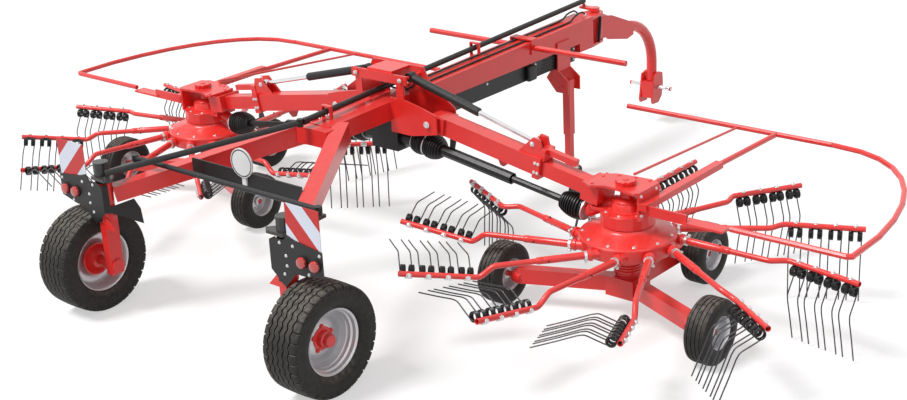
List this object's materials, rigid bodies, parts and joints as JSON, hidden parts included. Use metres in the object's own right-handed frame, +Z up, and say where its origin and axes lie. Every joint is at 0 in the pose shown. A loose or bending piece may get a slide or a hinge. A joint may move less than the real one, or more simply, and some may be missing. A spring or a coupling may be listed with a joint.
{
  "type": "twin rotor hay rake",
  "caption": "Towed hay rake with two side booms, each carrying a tined rotor on a wheeled carriage inside a folding guard hoop.",
  "frame": {"origin": "on the ground, in the middle of the machine's box", "axes": "+Y the way it is towed, +X its right side, +Z up"},
  "size_m": [7.52, 6.035, 1.46],
  "materials": {
    "red_paint": "semi-gloss paint",
    "black_paint": "satin paint",
    "silver_steel": "silver paint",
    "chrome": "polished",
    "tyre_rubber": "matt, slightly dusty",
    "sign_white": "retroreflective sheet"
  },
  "bodies": {
    "frame": {"main_beam": "red_paint", "beam_hood": "black_paint", "centre_gearbox": "black_paint", "input_shaft": "silver_steel", "boom_tower": "red_paint", "rear_fork": "red_paint", "rear_cross_plate": "black_paint", "speed_sign": "sign_white", "front_guard_bar": "red_paint", "stand_bracket": "red_paint"},
    "headstock": {"headstock": "red_paint", "hitch_head": "red_paint"},
    "stand": {"stand_leg": "red_paint", "stand_foot": "red_paint"},
    "front_steering_rod": {"front_steering_rod": "black_paint"},
    "rear_steering_rod": {"rear_steering_rod": "black_paint"},
    "tie_rod": {"tie_rod": "black_paint"},
    "knuckle_right": {"knuckle_right": "red_paint", "light_carrier_right": "black_paint", "stripe_board_right": "sign_white"},
    "road_wheel_right": {"road_tyre_right": "tyre_rubber", "road_rim_right": "silver_steel"},
    "knuckle_left": {"knuckle_left": "red_paint", "light_carrier_left": "black_paint", "stripe_board_left": "sign_white"},
    "road_wheel_left": {"road_tyre_left": "tyre_rubber", "road_rim_left": "silver_steel"},
    "boom_right": {"boom_right": "red_paint", "driveshaft_inner_right": "black_paint"},
    "rotor_head_right": {"boom_inner_right": "red_paint", "driveshaft_outer_right": "black_paint", "rotor_head_right": "red_paint", "carriage_right": "red_paint", "guard_frame_right": "red_paint"},
    "rotor_right": {"rotor_right": "red_paint"},
    "guard_hoop_right": {"guard_hoop_right": "red_paint"},
    "lift_barrel_right": {"lift_barrel_right": "black_paint"},
    "lift_rod_right": {"lift_rod_right": "chrome"},
    "carriage_wheel_inner_right": {"carriage_wheel_inner_right": "tyre_rubber"},
    "carriage_wheel_outer_right": {"carriage_wheel_outer_right": "tyre_rubber"},
    "carriage_wheel_front_right": {"carriage_wheel_front_right": "tyre_rubber"},
    "boom_left": {"boom_left": "red_paint", "driveshaft_inner_left": "black_paint"},
    "rotor_head_left": {"boom_inner_left": "red_paint", "driveshaft_outer_left": "black_paint", "rotor_head_left": "red_paint", "carriage_left": "red_paint", "guard_frame_left": "red_paint"},
    "rotor_left": {"rotor_left": "red_paint"},
    "guard_hoop_left": {"guard_hoop_left": "red_paint"},
    "lift_barrel_left": {"lift_barrel_left": "black_paint"},
    "lift_rod_left": {"lift_rod_left": "chrome"},
    "carriage_wheel_inner_left": {"carriage_wheel_inner_left": "tyre_rubber"},
    "carriage_wheel_outer_left": {"carriage_wheel_outer_left": "tyre_rubber"},
    "carriage_wheel_front_left": {"carriage_wheel_front_left": "tyre_rubber"}
  },
  "joints": [
    {"name": "headstock_yaw", "type": "hinge", "parent": "frame", "child": "headstock", "pos_m": [0, 2.0225, 1.14], "axis": [0, 0, 1], "range_deg": [-35, 35]},
    {"name": "stand_fold", "type": "hinge", "parent": "frame", "child": "stand", "pos_m": [0.15, 1.4075, 0.8], "axis": [0, -1, 0], "range_deg": [0, 90]},
    {"name": "front_steering_rod_slide", "type": "slide", "parent": "frame", "child": "front_steering_rod", "axis": [-0.0169, 0.9995, 0.0256], "range_m": [-0.07, 0.07]},
    {"name": "rear_steering_rod_swing", "type": "hinge", "parent": "front_steering_rod", "child": "rear_steering_rod", "pos_m": [-0.05, -1.5355, 1.264], "axis": [0, 0, 1], "range_deg": [-3, 3]},
    {"name": "kingpin_right", "type": "hinge", "parent": "frame", "child": "knuckle_right", "pos_m": [0.9, -2.6425, 0.9], "axis": [0, 0, 1], "range_deg": [-26.5, 26.5]},
    {"name": "road_wheel_spin_right", "type": "hinge", "parent": "knuckle_right", "child": "road_wheel_right", "pos_m": [1.135, -2.6425, 0.375], "axis": [1, 0, 0], "continuous": true},
    {"name": "kingpin_left", "type": "hinge", "parent": "frame", "child": "knuckle_left", "pos_m": [-0.9, -2.6425, 0.9], "axis": [0, 0, 1], "range_deg": [-26.5, 26.5]},
    {"name": "road_wheel_spin_left", "type": "hinge", "parent": "knuckle_left", "child": "road_wheel_left", "pos_m": [-1.135, -2.6425, 0.375], "axis": [1, 0, 0], "continuous": true},
    {"name": "tie_rod_swing", "type": "hinge", "parent": "knuckle_left", "child": "tie_rod", "pos_m": [-0.9, -2.3425, 1.085], "axis": [0, 0, 1], "range_deg": [-26.5, 26.5]},
    {"name": "boom_lift_right", "type": "hinge", "parent": "frame", "child": "boom_right", "pos_m": [0.455, -0.6425, 1.118], "axis": [0, -1, 0], "range_deg": [0, 75]},
    {"name": "head_slide_right", "type": "slide", "parent": "boom_right", "child": "rotor_head_right", "axis": [0.9854, 0, -0.1702], "range_m": [-0.15, 0.3]},
    {"name": "rotor_spin_right", "type": "hinge", "parent": "rotor_head_right", "child": "rotor_right", "pos_m": [2.1, -0.6425, 0.56], "axis": [0, 0, 1], "continuous": true},
    {"name": "guard_fold_right", "type": "hinge", "parent": "rotor_head_right", "child": "guard_hoop_right", "pos_m": [2.92, -0.7125, 0.845], "axis": [0.0844, -0.9964, 0], "range_deg": [0, 95]},
    {"name": "lift_barrel_swing_right", "type": "hinge", "parent": "frame", "child": "lift_barrel_right", "pos_m": [0.217, -0.6425, 1.41], "axis": [0, -1, 0], "range_deg": [0, 66]},
    {"name": "lift_rod_slide_right", "type": "slide", "parent": "lift_barrel_right", "child": "lift_rod_right", "axis": [0.9673, 0, -0.2538], "range_m": [-0.44, 0]},
    {"name": "carriage_wheel_spin_inner_right", "type": "hinge", "parent": "rotor_head_right", "child": "carriage_wheel_inner_right", "pos_m": [1.26, -0.9425, 0.2225], "axis": [1, 0, 0], "continuous": true},
    {"name": "carriage_wheel_spin_outer_right", "type": "hinge", "parent": "rotor_head_right", "child": "carriage_wheel_outer_right", "pos_m": [2.92, -0.9325, 0.2225], "axis": [1, 0, 0], "continuous": true},
    {"name": "carriage_wheel_spin_front_right", "type": "hinge", "parent": "rotor_head_right", "child": "carriage_wheel_front_right", "pos_m": [2.25, 0.1175, 0.2225], "axis": [1, 0, 0], "continuous": true},
    {"name": "boom_lift_left", "type": "hinge", "parent": "frame", "child": "boom_left", "pos_m": [-0.455, -0.6425, 1.118], "axis": [0, 1, 0], "range_deg": [0, 75]},
    {"name": "head_slide_left", "type": "slide", "parent": "boom_left", "child": "rotor_head_left", "axis": [-0.9854, 0, -0.1702], "range_m": [-0.15, 0.3]},
    {"name": "rotor_spin_left", "type": "hinge", "parent": "rotor_head_left", "child": "rotor_left", "pos_m": [-2.1, -0.6425, 0.56], "axis": [0, 0, 1], "continuous": true},
    {"name": "guard_fold_left", "type": "hinge", "parent": "rotor_head_left", "child": "guard_hoop_left", "pos_m": [-2.92, -0.7125, 0.845], "axis": [0.0844, 0.9964, 0], "range_deg": [0, 95]},
    {"name": "lift_barrel_swing_left", "type": "hinge", "parent": "frame", "child": "lift_barrel_left", "pos_m": [-0.217, -0.6425, 1.41], "axis": [0, 1, 0], "range_deg": [0, 66]},
    {"name": "lift_rod_slide_left", "type": "slide", "parent": "lift_barrel_left", "child": "lift_rod_left", "axis": [-0.9673, 0, -0.2538], "range_m": [-0.44, 0]},
    {"name": "carriage_wheel_spin_inner_left", "type": "hinge", "parent": "rotor_head_left", "child": "carriage_wheel_inner_left", "pos_m": [-1.26, -0.9425, 0.2225], "axis": [1, 0, 0], "continuous": true},
    {"name": "carriage_wheel_spin_outer_left", "type": "hinge", "parent": "rotor_head_left", "child": "carriage_wheel_outer_left", "pos_m": [-2.92, -0.9325, 0.2225], "axis": [1, 0, 0], "continuous": true},
    {"name": "carriage_wheel_spin_front_left", "type": "hinge", "parent": "rotor_head_left", "child": "carriage_wheel_front_left", "pos_m": [-2.25, 0.1175, 0.2225], "axis": [1, 0, 0], "continuous": true}
  ],
  "couplings": [
    {"joint": "front_steering_rod_slide", "follows": "headstock_yaw", "m_per_rad": -0.11},
    {"joint": "rear_steering_rod_swing", "follows": "headstock_yaw", "ratio": -0.0345},
    {"joint": "kingpin_right", "follows": "headstock_yaw", "ratio": -0.742},
    {"joint": "kingpin_left", "follows": "headstock_yaw", "ratio": -0.742},
    {"joint": "tie_rod_swing", "follows": "headstock_yaw", "ratio": 0.742},
    {"joint": "lift_barrel_swing_right", "follows": "boom_lift_right", "ratio": 0.866},
    {"joint": "lift_rod_slide_right", "follows": "boom_lift_right", "m_per_rad": -0.328},
    {"joint": "lift_barrel_swing_left", "follows": "boom_lift_left", "ratio": 0.866},
    {"joint": "lift_rod_slide_left", "follows": "boom_lift_left", "m_per_rad": -0.328}
  ]
}
